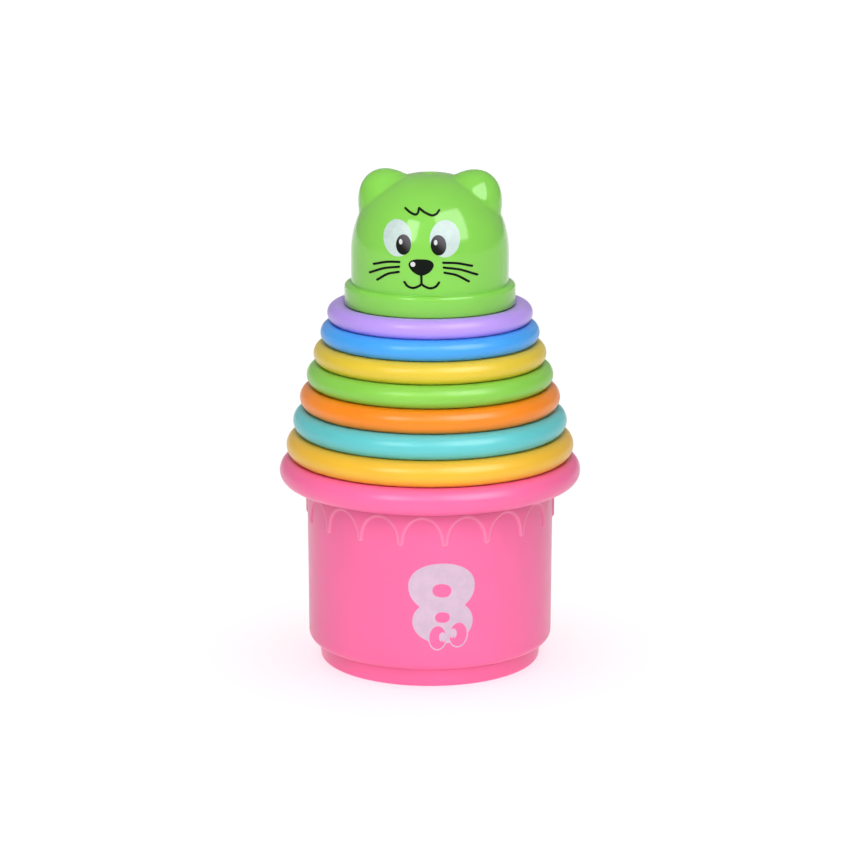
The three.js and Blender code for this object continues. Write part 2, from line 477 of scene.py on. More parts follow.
def dome_reach(head, s, inset, polar):
    """Distance from the head's heart to the dome at polar angles from straight up, by halving an interval.

    The dome is (r / radius)^power + (rise above its spring / its height)^power = 1, and upright below it.
    """
    near = np.zeros_like(polar)
    far = np.full_like(polar, 80 * MM)
    for _ in range(40):
        reach = (near + far) / 2
        across = reach * np.sin(polar) / (head.radius - inset)
        up = np.maximum(head.heart + reach * np.cos(polar) - head.crown + s.rise, 0) / (s.rise - inset)
        beyond = across ** s.power + up ** s.power > 1
        far = np.where(beyond, reach, far)
        near = np.where(beyond, near, reach)
    return near


def ear_reach(head, s, inset, side, polar, angles):
    """Distance from the head's heart to one ear, a leaning ellipsoid that the heart lies inside.

    In the ear's own axes, divided by its half sizes, the ray meets the unit sphere: the larger root of
    a t^2 - 2 b t + c = 0, where a, b and c are the dot products of its direction and start.
    """
    lean = side * s.ear_lean
    half = np.array(s.ear_half) - inset
    start = np.array([side * s.ear_offset, 0.0, head.crown - s.ear_drop - head.heart])
    way = np.stack(np.broadcast_arrays(
        np.sin(polar) * np.cos(angles), np.sin(polar) * np.sin(angles), np.cos(polar)), axis=-1)
    axes = np.array([
        [math.cos(lean), 0.0, -math.sin(lean)],
        [0.0, 1.0, 0.0],
        [math.sin(lean), 0.0, math.cos(lean)],
    ]) / half[:, None]
    way, start = way @ axes.T, axes @ start
    a = (way * way).sum(axis=-1)
    b = way @ start
    c = start @ start - 1
    return (b + np.sqrt(b * b - a * c)) / a


def soft_most(a, b, width):
    """The larger of two, with the corner between them rounded over a width."""
    overlap = np.maximum(width - np.abs(a - b), 0)
    return np.maximum(a, b) + overlap * overlap / (4 * width)


def head_surface(head, s, inset, polar, angles):
    """Radius and height of the dome with both ears, at rows of polar angle by columns of angle."""
    polar = polar[:, None]
    reach = dome_reach(head, s, inset, polar) * np.ones_like(angles)
    for side in (-1, 1):
        reach = soft_most(reach, ear_reach(head, s, inset, side, polar, angles), s.crease)
    return reach * np.sin(polar), head.heart + reach * np.cos(polar)


def make_head(columns):
    """The head's shell, from the top of its hollow down inside, round the collar and up to the crown.

    Both hollow and outside are the farthest of the dome and the ears from the heart of the head. A shallow
    round mark with a small nub is pressed into the crown.
    """
    s = bpy.context.scene.tower_head
    head = Head()
    face = np.linspace(0.0, 2 * math.pi, columns, endpoint=False)
    hollow_foot = head.collar_top + s.wall
    inner_end = math.atan2(head.radius - s.wall, hollow_foot - head.heart)
    inner = np.linspace(0.01, inner_end, 84)
    outer_start = math.atan2(head.radius, head.collar_top + 0.3 * MM - head.heart)
    outer = np.concatenate([np.linspace(outer_start, 0.16, 138)[:-1], np.linspace(0.16, 0.008, 17)])
    inside = head_surface(head, s, s.wall, inner, face)
    outside = head_surface(head, s, 0.0, outer, face)
    nub = 0.8 * MM
    dent = soft_step((s.gate - outside[0]) / (0.9 * MM)) - 0.85 * soft_step((nub - outside[0]) / nub + 0.4)
    outside = (outside[0], outside[1] - s.gate_depth * np.where(outer[:, None] < 0.5, dent, 0.0))
    collar = rounded_path([
        (head.radius - s.wall, hollow_foot - 0.2 * MM, 0),
        (head.ring_inside, head.collar_top, 0.4 * MM),
        (head.ring_inside, head.ring_foot, 0.4 * MM),
        (head.ring_outside, head.ring_foot, 0.4 * MM),
        (head.ring_outside, head.groove, 0.3 * MM),
        (head.collar - s.wall, head.groove, 0.3 * MM),
        (head.collar - s.wall, head.foot, 0.3 * MM),
        (head.collar, head.foot, s.collar_rounding),
        (head.collar, head.collar_top, s.collar_shoulder),
        (head.radius, head.collar_top, 0.25 * MM),
        (head.radius, head.collar_top + 0.29 * MM, 0),
    ], 3 * MM)
    middle = [np.repeat(collar[:, k:k + 1], columns, axis=1) for k in (0, 1)]
    radius, height = (np.concatenate(rows) for rows in zip(inside, middle, outside))
    points, faces = revolved(radius, height, face + s.face_turn)
    marks = [
        ("radius", head.collar - 0.2 * MM, head.collar),
        ("height", head.foot + 0.4 * MM, head.foot),
    ]
    colour = bpy.context.scene.tower_colours.cat_head
    material = moulded_plastic(PLASTICS[HEAD], colour, len(CUPS), marks, HEAD_GLOSS)
    stand_for(put_mesh("cat_head_shell", points, faces, material), HEAD)


# Ink --------------------------------------------------------------------------------------------------


def positive_region(value, x, y):
    """Triangles of the part of a flat grid where the value is positive, and the edges round that part.

    Each cell is two triangles. A triangle that the outline crosses is cut where the value, taken as linear
    along its sides, is zero. Gives points, triangles, and edges with the region on their left.
    """
    columns = len(x)
    place = np.stack(np.meshgrid(x, y), axis=-1).reshape(-1, 2)
    value = np.where(np.abs(value) < 1e-7, 1e-7, value).ravel()
    corner = (np.arange(len(y) - 1)[:, None] * columns + np.arange(columns - 1)).ravel()
    lower = np.stack([corner, corner + 1, corner + columns + 1], axis=-1)
    upper = np.stack([corner, corner + columns + 1, corner + columns], axis=-1)
    triangles = np.concatenate([lower, upper])
    inside = value[triangles] > 0
    count = inside.sum(axis=1)

    def turned_to(odd_one, chosen):
        """The chosen triangles, with their odd corner first."""
        first = np.argmax(odd_one[chosen], axis=1)[:, None]
        return np.take_along_axis(triangles[chosen], (first + np.arange(3)) % 3, axis=1)

    one = turned_to(inside, count == 1)
    two = turned_to(~inside, count == 2)
    sides = np.concatenate([one[:, [0, 1]], one[:, [0, 2]], two[:, [0, 1]], two[:, [0, 2]]])
    sides.sort(axis=1)
    cut, where = np.unique(sides, axis=0, return_inverse=True)
    share = value[cut[:, 0]] / (value[cut[:, 0]] - value[cut[:, 1]])
    crossing = place[cut[:, 0]] + (place[cut[:, 1]] - place[cut[:, 0]]) * share[:, None]
    n, m = len(one), len(two)
    where = where.ravel() + len(place)
    a, b, c, d = where[:n], where[n:2 * n], where[2 * n:2 * n + m], where[2 * n + m:]
    found = np.concatenate([
        triangles[count == 3],
        np.stack([one[:, 0], a, b], axis=-1),
        np.stack([c, two[:, 1], two[:, 2]], axis=-1),
        np.stack([c, two[:, 2], d], axis=-1),
    ])
    edges = np.concatenate([np.stack([a, b], axis=-1), np.stack([d, c], axis=-1)])
    used, tight = np.unique(np.concatenate([found.ravel(), edges.ravel()]), return_inverse=True)
    tight = tight.ravel()
    points = np.concatenate([place, crossing])[used]
    return points, tight[:found.size].reshape(-1, 3), tight[found.size:].reshape(-1, 2)


def print_ink(name, body, shape, window, surface, layer, material, slot, grid=None):
    """A thin closed film of ink on a surface, where the shape's distance is positive.

    window is (least x, most x, least y, most y) on the surface's own flat coordinates. The film's front lies
    its layers above the surface, its back a little inside the plastic, and a narrow wall joins their edges.
    """
    ink = bpy.context.scene.tower_ink
    step = grid or ink.grid
    x = np.arange(window[0], window[1] + step, step)
    y = np.arange(window[2], window[3] + step, step)
    flat, triangles, edges = positive_region(shape(*np.meshgrid(x, y)), x, y)
    if len(triangles) == 0:
        raise RuntimeError(name + " has no ink")
    count = len(flat)
    points = np.concatenate([surface(flat, layer * ink.film), surface(flat, -ink.film)])
    left, right = edges[:, 0], edges[:, 1]
    walls = np.stack([right, left, left + count, right + count], axis=-1)
    faces = [triangles, triangles[:, ::-1] + count, walls]
    piece = put_mesh(name, points, faces, material, sharp=math.radians(50))
    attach(piece, body)
    return piece, np.concatenate([flat, flat])


def oval(x, y, middle, half, lean=0.0, power=2.0):
    """Distance inside a leaning oval, |x / a|^p + |y / b|^p = 1, measured along the ray from its middle.

    half is (a, b), or (a, b above the middle, b below it). A positive lean, in degrees, tips
    the top towards +X.
    """
    turn = math.radians(lean)
    dx, dy = x - middle[0], y - middle[1]
    across = dx * math.cos(turn) - dy * math.sin(turn)
    up = dx * math.sin(turn) + dy * math.cos(turn)
    tall = np.where(up > 0, half[1], half[-1])
    share = (np.abs(across / half[0]) ** power + np.abs(up / tall) ** power) ** (1 / power)
    share = np.maximum(share, 1e-3)
    return np.hypot(across, up) * (1 - share) / share


def curve_through(points, closed=False, steps=10):
    """A smooth curve through points: spans are cubics whose end slopes are half the chord past each end."""
    points = np.asarray(points, float)
    if closed:
        padded = np.concatenate([points[-1:], points, points[:2]])
    else:
        padded = np.concatenate([2 * points[:1] - points[1:2], points, 2 * points[-1:] - points[-2:-1]])
    t = np.linspace(0.0, 1.0, steps, endpoint=False)[None, :, None]
    a, b, c, d = (padded[k:len(padded) - 3 + k, None, :] for k in range(4))
    squared, cubed = 2 * a - 5 * b + 4 * c - d, 3 * b - 3 * c + d - a
    spans = 0.5 * (2 * b + (c - a) * t + squared * t ** 2 + cubed * t ** 3)
    return np.concatenate([spans.reshape(-1, 2), padded[-2:-1]])


def line_gap(x, y, path):
    """Distance from each place to a path of straight runs: to the nearest point of the nearest run."""
    here = np.stack([x, y], axis=-1)
    nearest = np.full(x.shape, np.inf)
    for start, end in zip(path[:-1], path[1:]):
        run = end - start
        share = np.clip((here - start) @ run / max(run @ run, 1e-18), 0.0, 1.0)
        nearest = np.minimum(nearest, np.linalg.norm(here - start - share[..., None] * run, axis=-1))
    return nearest


def inside_outline(x, y, path):
    """Distance inside a closed path: to its nearest run, positive where a ray to +X crosses it an odd
    number of times."""
    crossings = np.zeros(x.shape, int)
    for start, end in zip(path[:-1], path[1:]):
        spans = (start[1] > y) != (end[1] > y)
        rise = end[1] - start[1]
        meets = start[0] + (y - start[1]) * (end[0] - start[0]) / (rise if rise else 1.0)
        crossings += spans & (x < meets)
    return np.where(crossings % 2, 1.0, -1.0) * line_gap(x, y, path)


# Numerals ---------------------------------------------------------------------------------------------

# Middle lines of the plain numerals, one numeral high from 0 to 1. A curved stroke is smoothed.
STROKES = {
    7: [("straight", [(-0.23, 0.86), (0.24, 0.86)]), ("curved", [(0.24, 0.86), (0.04, 0.52), (-0.04, 0.14)])],
    6: [
        ("curved", [(0.17, 0.86), (-0.06, 0.77), (-0.2, 0.58), (-0.23, 0.36), (-0.1, 0.17), (0.1, 0.15),
                    (0.23, 0.3), (0.17, 0.48), (0.0, 0.54), (-0.17, 0.46), (-0.23, 0.36)]),
    ],
    5: [
        ("straight", [(0.2, 0.86), (-0.15, 0.86), (-0.19, 0.54)]),
        ("curved", [(-0.19, 0.54), (0.02, 0.59), (0.22, 0.47), (0.22, 0.26), (0.04, 0.14), (-0.22, 0.18)]),
    ],
    4: [("straight", [(0.11, 0.14), (0.11, 0.86), (-0.26, 0.36), (0.28, 0.36)])],
    3: [
        ("curved", [(-0.2, 0.79), (0.0, 0.86), (0.18, 0.76), (0.14, 0.6), (-0.04, 0.53)]),
        ("curved", [(-0.04, 0.53), (0.17, 0.47), (0.22, 0.3), (0.05, 0.14), (-0.22, 0.19)]),
    ],
    2: [
        ("curved", [(-0.22, 0.7), (-0.08, 0.84), (0.12, 0.84), (0.22, 0.68), (0.1, 0.46), (-0.23, 0.14)]),
        ("straight", [(-0.23, 0.14), (0.25, 0.14)]),
    ],
    1: [("straight", [(-0.14, 0.7), (0.05, 0.86), (0.05, 0.14)])],
}


def plain_numeral(digit, x, y):
    """Distance inside a bold numeral: half the stroke's width less the gap to its middle lines."""
    gap = np.full(x.shape, np.inf)
    for kind, points in STROKES[digit]:
        path = curve_through(points) if kind == "curved" else np.asarray(points)
        gap = np.minimum(gap, line_gap(x, y, path))
    return 0.14 - gap


def eight(x, y):
    """Distance inside a bold 8: two overlapping lobes less their two holes."""
    upper = oval(x, y, (-0.008, 0.716), (0.407, 0.284, 0.325), power=2.12)
    lower = oval(x, y, (0.004, 0.273), (0.371, 0.28, 0.273), power=2.05)
    upper_hole = oval(x, y, (-0.008, 0.661), (0.114, 0.083), lean=5, power=2.3)
    lower_hole = oval(x, y, (-0.001, 0.325), (0.0885, 0.067), power=2.3)
    return np.minimum(np.maximum(upper, lower), -np.maximum(upper_hole, lower_hole))


def with_eyes(body, x, y, shift):
    """The numeral with two ringed eyes cut out of its foot, each with a pupil that has a small notch."""
    left = oval(x, y, (-0.06 + shift, 0.073), (0.1, 0.145), lean=2.4)
    right = oval(x, y, (0.193 + shift, 0.103), (0.107, 0.148), lean=6.7)
    eyes = np.maximum(left, right)
    ring = np.minimum(-eyes, eyes + 0.0155)
    pupils = np.maximum(
        oval(x, y, (0.0 + shift, 0.078), (0.042, 0.0623)),
        oval(x, y, (0.13 + shift, 0.12), (0.0443, 0.0623)))
    notches = np.maximum(
        oval(x, y, (-0.006 + shift, 0.023), (0.0075, 0.021)),
        oval(x, y, (0.133 + shift, 0.066), (0.0075, 0.021)))
    pupils = np.minimum(np.minimum(pupils, eyes - 0.003), -notches)
    return np.maximum(np.maximum(np.minimum(body, -eyes), ring), pupils)


def make_numeral(place, grid):
    """The numeral on one cup, as tall as its share of the clear wall between the shoulder and the drips."""
    s = bpy.context.scene.tower_cups
    ink = bpy.context.scene.tower_ink
    cup = Cup(place)
    digit = len(CUPS) - place
    drips_end = cup.level - (s.drip_drop + s.drip_arch + s.drip_tip) * cup.scale
    clear = drips_end - cup.shoulder_top
    tall = ink.numeral_share * clear
    foot = (drips_end + cup.shoulder_top - tall) / 2 + 0.01 * tall
    shift = {8: 0.0, 7: -0.05, 4: 0.05, 1: -0.02}.get(digit, -0.03)

    def shape(x, y):
        across, up = x / tall, (y - foot) / tall
        body = eight(across, up) if digit == 8 else plain_numeral(digit, across, up)
        return with_eyes(body, across, up, shift) * tall

    def surface(flat, lift):
        """Flat places wrapped on the wall: the angle is the length along it over its radius."""
        radius = cup.wall_radius(flat[:, 1]) + lift
        angle = ink.numeral_turn + flat[:, 0] / cup.wall
        return np.stack([radius * np.sin(angle), -radius * np.cos(angle), flat[:, 1]], axis=-1)

    window = (-0.5 * tall, 0.5 * tall, foot - 0.12 * tall, foot + 1.05 * tall)
    colour = bpy.context.scene.tower_colours.numeral_ink
    name = "numeral_%d" % digit
    material = printed_ink(name, colour, 0.42)
    print_ink(name, CUPS[place], shape, window, surface, 1.3, material, "numeral_ink", grid)


# Face -------------------------------------------------------------------------------------------------


def on_dome(flat, lift):
    """Places (x, height) seen from the face's front, put on the dome and lifted along its normal.

    The face leans a little, so x first drops by the height above the collar times the lean's tangent. The
    dome's radius at a height is radius (1 - (rise share)^power)^(1 / power), and y = -sqrt(r^2 - x^2).
    The normal is the slope of the dome's own function. The face is then turned about the axis.
    """
    s = bpy.context.scene.tower_head
    head = Head()
    z = flat[:, 1]
    x = flat[:, 0] - math.tan(s.face_lean) * (z - head.foot)
    up = np.maximum(z - head.crown + s.rise, 0) / s.rise
    radius = head.radius * (1 - up ** s.power) ** (1 / s.power)
    y = -np.sqrt(radius ** 2 - x ** 2)
    slope = (radius / head.radius) ** (s.power - 1) / head.radius / radius
    normal = np.stack([x * slope, y * slope, up ** (s.power - 1) / s.rise], axis=-1)
    normal /= np.linalg.norm(normal, axis=1, keepdims=True)
    point = np.stack([x, y, z], axis=-1) + lift * normal
    c, n = math.cos(s.face_turn), math.sin(s.face_turn)
    return point @ np.array([[c, n, 0.0], [-n, c, 0.0], [0.0, 0.0, 1.0]])


def both_sides(shape):
    """A shape in the face's right half, repeated in its left half."""
    return lambda x, y: np.maximum(shape(x, y), shape(-x, y))


def drawn(paths, width):
    """The shape of round-ended pen lines along paths."""
    return lambda x, y: width / 2 - np.min([line_gap(x, y, path) for path in paths], axis=0)


def whiskers():
    """Middle lines of the three whiskers of the right cheek."""
    lines = [
        [(7.6, 149.2), (12.3, 148.8), (17.1, 147.5)],
        [(7.75, 147.5), (13.3, 146.5), (18.75, 144.25)],
        [(7.95, 145.7), (11.95, 144.65), (15.95, 142.15)],
    ]
    return [curve_through(np.array(line) * MM) for line in lines]


def mouth_lines():
    """Middle lines of the right half of the mouth, and of the short line down from the nose."""
    smile = [(0, 141.78), (1.1, 140.97), (2.95, 140.35), (4.85, 140.9), (6.0, 142.3)]
    return [curve_through(np.array(smile) * MM), np.array([(0, 145.4), (0, 141.78)]) * MM]


def tuft_lines():
    """Middle lines of the tuft of hair on the forehead: two curls that meet in a point."""
    left = [(-5.66, 167.05), (-3.95, 165.83), (-2.09, 165.16), (-1.15, 165.75), (-0.82, 167.25)]
    right = [(-0.82, 167.25), (1.25, 165.9), (3.66, 165.0), (5.2, 165.4), (6.1, 166.6)]
    return [curve_through(np.array(line) * MM) for line in (left, right)]


def nose_outline():
    """Closed outline of the nose, a triangle with round corners and its point down."""
    half = [(0, 150.4), (2.9, 150.1), (4.3, 148.85), (4.0, 147.25), (2.4, 145.55)]
    other = [(-x, z) for x, z in reversed(half[1:])]
    return curve_through(np.array(half + [(0, 144.7)] + other) * MM, closed=True)


def face_window(x, low, high):
    """The part of the face within x of its middle, between two heights, in millimetres."""
    return tuple(np.array((-x, x, low, high)) * MM)


def make_face():
    """All the prints of the face, each a film of ink on the dome."""
    colours = bpy.context.scene.tower_colours
    line = bpy.context.scene.tower_ink.line
    white = printed_ink("white_ink", colours.white_ink, 0.3)
    black = printed_ink("black_ink", colours.black_ink, 0.42, 0.08)
    pupil = shaded_ink("pupil_ink", colours.black_ink)
    gleam = printed_ink("gleam_ink", (0.6, 0.6, 0.61), 0.3)
    nose = nose_outline()
    eyes = both_sides(lambda x, y: oval(x, y, (8.2 * MM, 157.2 * MM), (5.1 * MM, 6.2 * MM)))
    pupils = both_sides(lambda x, y: oval(x, y, (6.05 * MM, 155.15 * MM), (2.65 * MM, 3.45 * MM), lean=-5))

    def gleams(x, y):
        """An upright glint in each pupil, to its upper left, and a round one on the nose."""
        left = oval(x, y, (-7.0 * MM, 156.1 * MM), (0.6 * MM, 0.9 * MM))
        right = oval(x, y, (5.1 * MM, 156.1 * MM), (0.6 * MM, 0.9 * MM))
        nose_glint = oval(x, y, (-2.84 * MM, 148.6 * MM), (0.85 * MM, 0.85 * MM))
        return np.maximum(np.maximum(left, right), nose_glint)

    def film(name, shape, window, layer, material, slot):
        """One print of the face."""
        return print_ink(name, HEAD, shape, window, on_dome, layer, material, slot)

    film("cat_eye_whites", eyes, face_window(14, 150, 164.5), 1, white, "white_ink")
    shaded, flat = film("cat_pupils", pupils, face_window(9.5, 151, 159.5), 2, pupil, "black_ink")
    off = (np.abs(flat[:, 0]) - 6.05 * MM) * np.sign(flat[:, 0]) + flat[:, 1] - 155.15 * MM
    mark_points(shaded, "shade", soft_step(0.45 + off / (7 * MM)))
    nose_shape = lambda x, y: inside_outline(x, y, nose)
    film("cat_nose", nose_shape, face_window(5, 144, 151.5), 1, black, "black_ink")
    film("cat_gleams", gleams, face_window(8.5, 147, 158), 3, gleam, "white_ink")
    for name, shape, window, layer in [
        ("cat_whiskers", both_sides(drawn(whiskers(), line)), (20, 141, 150.5), 1),
        ("cat_mouth", both_sides(drawn(mouth_lines(), line)), (7.5, 139, 146), 2),
        ("cat_tuft", drawn(tuft_lines(), 0.95 * line), (8, 163.5, 168.5), 1),
    ]:
        film(name, shape, face_window(*window), layer, black, "black_ink")


# Materials --------------------------------------------------------------------------------------------


class Recipe:
    """A material under construction: adds shader nodes and joins them to each other."""

    def __init__(self, name):
        self.material = bpy.data.materials.new(name)
        self.material.use_nodes = True
        self.tree = self.material.node_tree
        self.tree.nodes.clear()
        self.place = self.add("ShaderNodeTexCoord").outputs["Object"]
        self.shader = self.add("ShaderNodeBsdfPrincipled")
        output = self.add("ShaderNodeOutputMaterial")
        self.tree.links.new(self.shader.outputs["BSDF"], output.inputs["Surface"])

    def add(self, kind, inputs=(), **settings):
        """A node with its settings, whose inputs are (socket, number or other node's output) pairs."""
        node = self.tree.nodes.new(kind)
        for key, value in settings.items():
            setattr(node, key, value)
        self.join(node, inputs)
        return node

    def join(self, node, inputs):
        """Set or link each of a node's inputs."""
        for socket, value in inputs:
            if isinstance(value, bpy.types.NodeSocket):
                self.tree.links.new(value, node.inputs[socket])
            else:
                node.inputs[socket].default_value = value

    def math(self, operation, *values):
        """A function of numbers and outputs."""
        return self.add("ShaderNodeMath", enumerate(values), operation=operation).outputs[0]

    def plus(self, a, b):
        """The sum of two."""
        return self.math("ADD", a, b)

    def times(self, a, b):
        """The product of two."""
        return self.math("MULTIPLY", a, b)

    def noise(self, scale, detail=2.0, place=None, roughness=0.5, distortion=0.0):
        """Soft noise with about this many bumps a metre."""
        inputs = [("Vector", place or self.place), ("Scale", scale), ("Detail", detail)]
        inputs += [("Roughness", roughness), ("Distortion", distortion)]
        return self.add("ShaderNodeTexNoise", inputs).outputs["Fac"]

    def spread(self, value, start, end, low, high):
        """Low at the start and high at the end, smooth in between and level outside."""
        inputs = [("Value", value), ("From Min", start), ("From Max", end), ("To Min", low), ("To Max", high)]
        return self.add("ShaderNodeMapRange", inputs, interpolation_type="SMOOTHSTEP").outputs["Result"]

    def shades(self, value, stops):
        """Colours between stops of (position, colour)."""
        ramp = self.add("ShaderNodeValToRGB", [("Fac", value)])
        for element, (position, tint) in zip(ramp.color_ramp.elements, stops):
            element.position = position
            element.color = (*tint, 1.0)
        return ramp.outputs["Color"]


def tinted(colour, amount):
    """A colour made lighter or darker by a share."""
    return tuple(min(1.0, channel * amount) for channel in colour)


def moulded_plastic(name, colour, seed, marks, gloss):
    """Moulded plastic, slightly translucent; gloss is its roughness where it is best polished.

    Its colour drifts a little over 40 mm. Where a mesh keeps an edge share, the colour is lightened towards
    white by it, a painted highlight along the drips' outlines. Fine noise makes the polish uneven, noise
    drawn out round the axis leaves faint rub lines, and worn edges, given as marks, are rougher. A fine
    orange peel and the rub lines are in the bump.
    """
    r = Recipe(name)
    split = r.add("ShaderNodeSeparateXYZ", [(0, r.place)]).outputs
    radius = r.math("SQRT", r.plus(r.times(split[0], split[0]), r.times(split[1], split[1])))
    turn = r.times(r.math("ARCTAN2", split[1], split[0]), 4 * MM)
    shifted = r.plus(split[2], 0.37 * seed)
    round_place = r.add("ShaderNodeCombineXYZ", enumerate((turn, radius, shifted))).outputs[0]
    moved = r.add("ShaderNodeMapping", [("Vector", r.place), ("Location", (seed, 0, 0))]).outputs[0]
    cloud = r.noise(26, 3, moved)
    shades = r.shades(cloud, [(0.34, tinted(colour, 0.95)), (0.66, tinted(colour, 1.03))])
    # Painted highlight: the edge share lightens the colour towards white along the drips' outlines.
    edge = r.times(r.add("ShaderNodeAttribute", attribute_name="edge").outputs["Fac"], 0.13)
    pale = r.add("ShaderNodeMix", [(0, edge), (6, shades), (7, (1.0, 1.0, 1.0, 1.0))], data_type="RGBA")
    rubs = r.spread(r.noise(1500, 2, round_place, 0.6), 0.6, 0.74, 0, 1)
    patches = r.spread(r.noise(55, 3), 0.48, 0.68, 0, 1)
    rub = r.times(rubs, patches)
    worn = 0.0
    places = {"radius": radius, "height": split[2]}
    for axis, start, end in marks:
        worn = r.plus(r.spread(places[axis], start, end, 0, 1), worn)
    scuffs = r.times(worn, r.spread(r.noise(420, 4, round_place, 0.7), 0.42, 0.66, 0, 1))
    polish = r.spread(r.noise(140, 4, None, 0.6), 0.35, 0.68, gloss, gloss + 0.05)
    rough = r.plus(polish, r.plus(r.times(rub, 0.06), r.times(scuffs, 0.12)))
    peel = r.plus(r.noise(300, 2), r.times(r.noise(1300, 2), 0.22))
    height = r.math("SUBTRACT", peel, r.plus(r.times(rub, 0.16), r.times(scuffs, 0.25)))
    bump = r.add("ShaderNodeBump", [("Height", height), ("Strength", 0.25), ("Distance", 0.014 * MM)])
    r.join(r.shader, [
        ("Base Color", pale.outputs[2]),
        ("Roughness", rough),
        ("Normal", bump.outputs[0]),
        ("IOR", 1.5),
        ("Specular IOR Level", 0.4),
        ("Subsurface Weight", 0.18),
        ("Subsurface Radius", tuple(0.4 + 0.6 * channel for channel in colour)),
        ("Subsurface Scale", 5 * MM),
        ("Coat Weight", 0.1),
        ("Coat Roughness", gloss),
    ])
    return r.material


def ink_base(name, rough, shine=0.3):
    """A printed film: slightly uneven sheen and a fine grain, with its colour still to be joined."""
    r = Recipe(name)
    grain = r.noise(1900, 3, None, 0.6)
    bump = r.add("ShaderNodeBump", [("Height", grain), ("Strength", 0.25), ("Distance", 0.02 * MM)])
    r.join(r.shader, [
        ("Roughness", r.spread(r.noise(500, 3), 0.35, 0.65, rough - 0.05, rough + 0.07)),
        ("Normal", bump.outputs[0]),
        ("Specular IOR Level", shine),
    ])
    return r


def printed_ink(name, colour, rough, shine=0.3):
    """Ink of one colour, mottled a little by how thickly it took."""
    r = ink_base(name, rough, shine)
    mottle = r.plus(r.times(r.noise(260, 4, None, 0.65), 0.7), r.times(r.noise(2600), 0.3))
    stops = [(0.38, tinted(colour, 0.94)), (0.62, tinted(colour, 1.05))]
    r.join(r.shader, [("Base Color", r.shades(mottle, stops))])
    return r.material


def shaded_ink(name, colour):
    """Ink that fades from its colour to a soft grey by the mesh's own shade."""
    r = ink_base(name, 0.4, 0.12)
    shade = r.add("ShaderNodeAttribute", attribute_name="shade").outputs["Fac"]
    grained = r.plus(shade, r.times(r.math("SUBTRACT", r.noise(2400), 0.5), 0.25))
    stops = [(0.15, tuple(colour)), (0.95, (0.085, 0.08, 0.09))]
    r.join(r.shader, [("Base Color", r.shades(grained, stops))])
    return r.material


def floor_paper(name, colour):
    """Plain pale paper with a faint tooth."""
    r = Recipe(name)
    tone = r.shades(r.noise(3, 3), [(0.4, tinted(colour, 0.992)), (0.6, tinted(colour, 1.0))])
    bump = r.add("ShaderNodeBump", [("Height", r.noise(900, 3)), ("Strength", 0.1), ("Distance", 0.05 * MM)])
    r.join(r.shader, [("Base Color", tone), ("Roughness", r.spread(r.noise(60, 2), 0.4, 0.6, 0.6, 0.7))])
    r.join(r.shader, [("Normal", bump.outputs[0]), ("Specular IOR Level", 0.1)])
    return r.material


# Stage ------------------------------------------------------------------------------------------------


def make_floor():
    """A flat square grid, z = 0 everywhere, that the tower stands on."""
    stage = bpy.context.scene.tower_stage
    side = np.linspace(-stage.floor / 2, stage.floor / 2, 9)
    x, y = np.meshgrid(side, side)
    points = np.stack([x, y, np.zeros_like(x)], axis=-1).reshape(-1, 3)
    corner = (np.arange(8)[:, None] * 9 + np.arange(8)).ravel()
    faces = [np.stack([corner, corner + 1, corner + 10, corner + 9], axis=-1)]
    material = floor_paper("floor_paper", bpy.context.scene.tower_colours.floor)
    floor = put_mesh("floor", points, faces, material)
    floor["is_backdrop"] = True
    return floor


# Name, angle round the tower, angle above it, width and height, watts, and whether the gloss mirrors it.
SOFTBOXES = [
    ("right_softbox", 40, 38, (0.87, 0.97), 14.5, True),
    ("left_softbox", -31, 31, (0.38, 0.6), 5.0, True),
    ("front_fill", 0, 33, (0.5, 0.9), 13.6, False),
    ("top_fill", 0, 82, (0.9, 0.9), 4.0, False),
]


def make_softbox(floor, name, turn, climb, size, power, mirrored):
    """A rectangular light that faces the tower from an angle round it and an angle above it, in degrees.

    It leaves the floor to the floor's own light. A mirrored one shows in the gloss and does no more, and
    one that isn't lights the surfaces evenly without showing in them.
    """
    stage = bpy.context.scene.tower_stage
    turn, climb = math.radians(turn), math.radians(climb)
    way = Vector((math.sin(turn) * math.cos(climb), -math.cos(turn) * math.cos(climb), math.sin(climb)))
    light = bpy.data.lights.new(name, "AREA")
    light.shape = "RECTANGLE"
    light.size, light.size_y = size
    light.energy = power
    lamp = bpy.data.objects.new(name, light)
    lamp.location = Vector((0, 0, CAD_BOX[1][2] * 0.8)) + way * stage.light_distance
    lamp.rotation_euler = way.to_track_quat("Z", "Y").to_euler()
    lamp.visible_glossy = mirrored
    lamp.visible_diffuse = not mirrored
    bpy.context.scene.collection.objects.link(lamp)
    limit_light(lamp, floor, "EXCLUDE")


def make_floor_light(name, floor, strength, shadow):
    """An even light from straight above that falls on the floor alone, and keeps it white far back."""
    light = bpy.data.lights.new(name, "SUN")
    light.energy = strength
    light.angle = math.radians(80)
    light.use_shadow = shadow
    lamp = bpy.data.objects.new(name, light)
    bpy.context.scene.collection.objects.link(lamp)
    limit_light(lamp, floor, "INCLUDE")


def limit_light(lamp, floor, state):
    """Keep a light off the floor, or off everything but the floor."""
    reach = bpy.data.collections.new(lamp.name + "_reach")
    reach.objects.link(floor)
    reach.collection_objects[0].light_linking.link_state = state
    lamp.light_linking.receiver_collection = reach


def make_camera():
    """The camera, looking down on the tower from the front."""
    stage = bpy.context.scene.tower_stage
    data = bpy.data.cameras.new("camera")
    data.lens = stage.lens
    data.sensor_width = 36.0
    data.clip_start = 0.01
    camera = bpy.data.objects.new("camera", data)
    back, up = stage.distance * math.cos(stage.elevation), stage.distance * math.sin(stage.elevation)
    camera.location = (0.0, -back, stage.aim + up)
    camera.rotation_euler = (math.pi / 2 - stage.elevation, 0.0, 0.0)
    bpy.context.scene.collection.objects.link(camera)
    bpy.context.scene.camera = camera


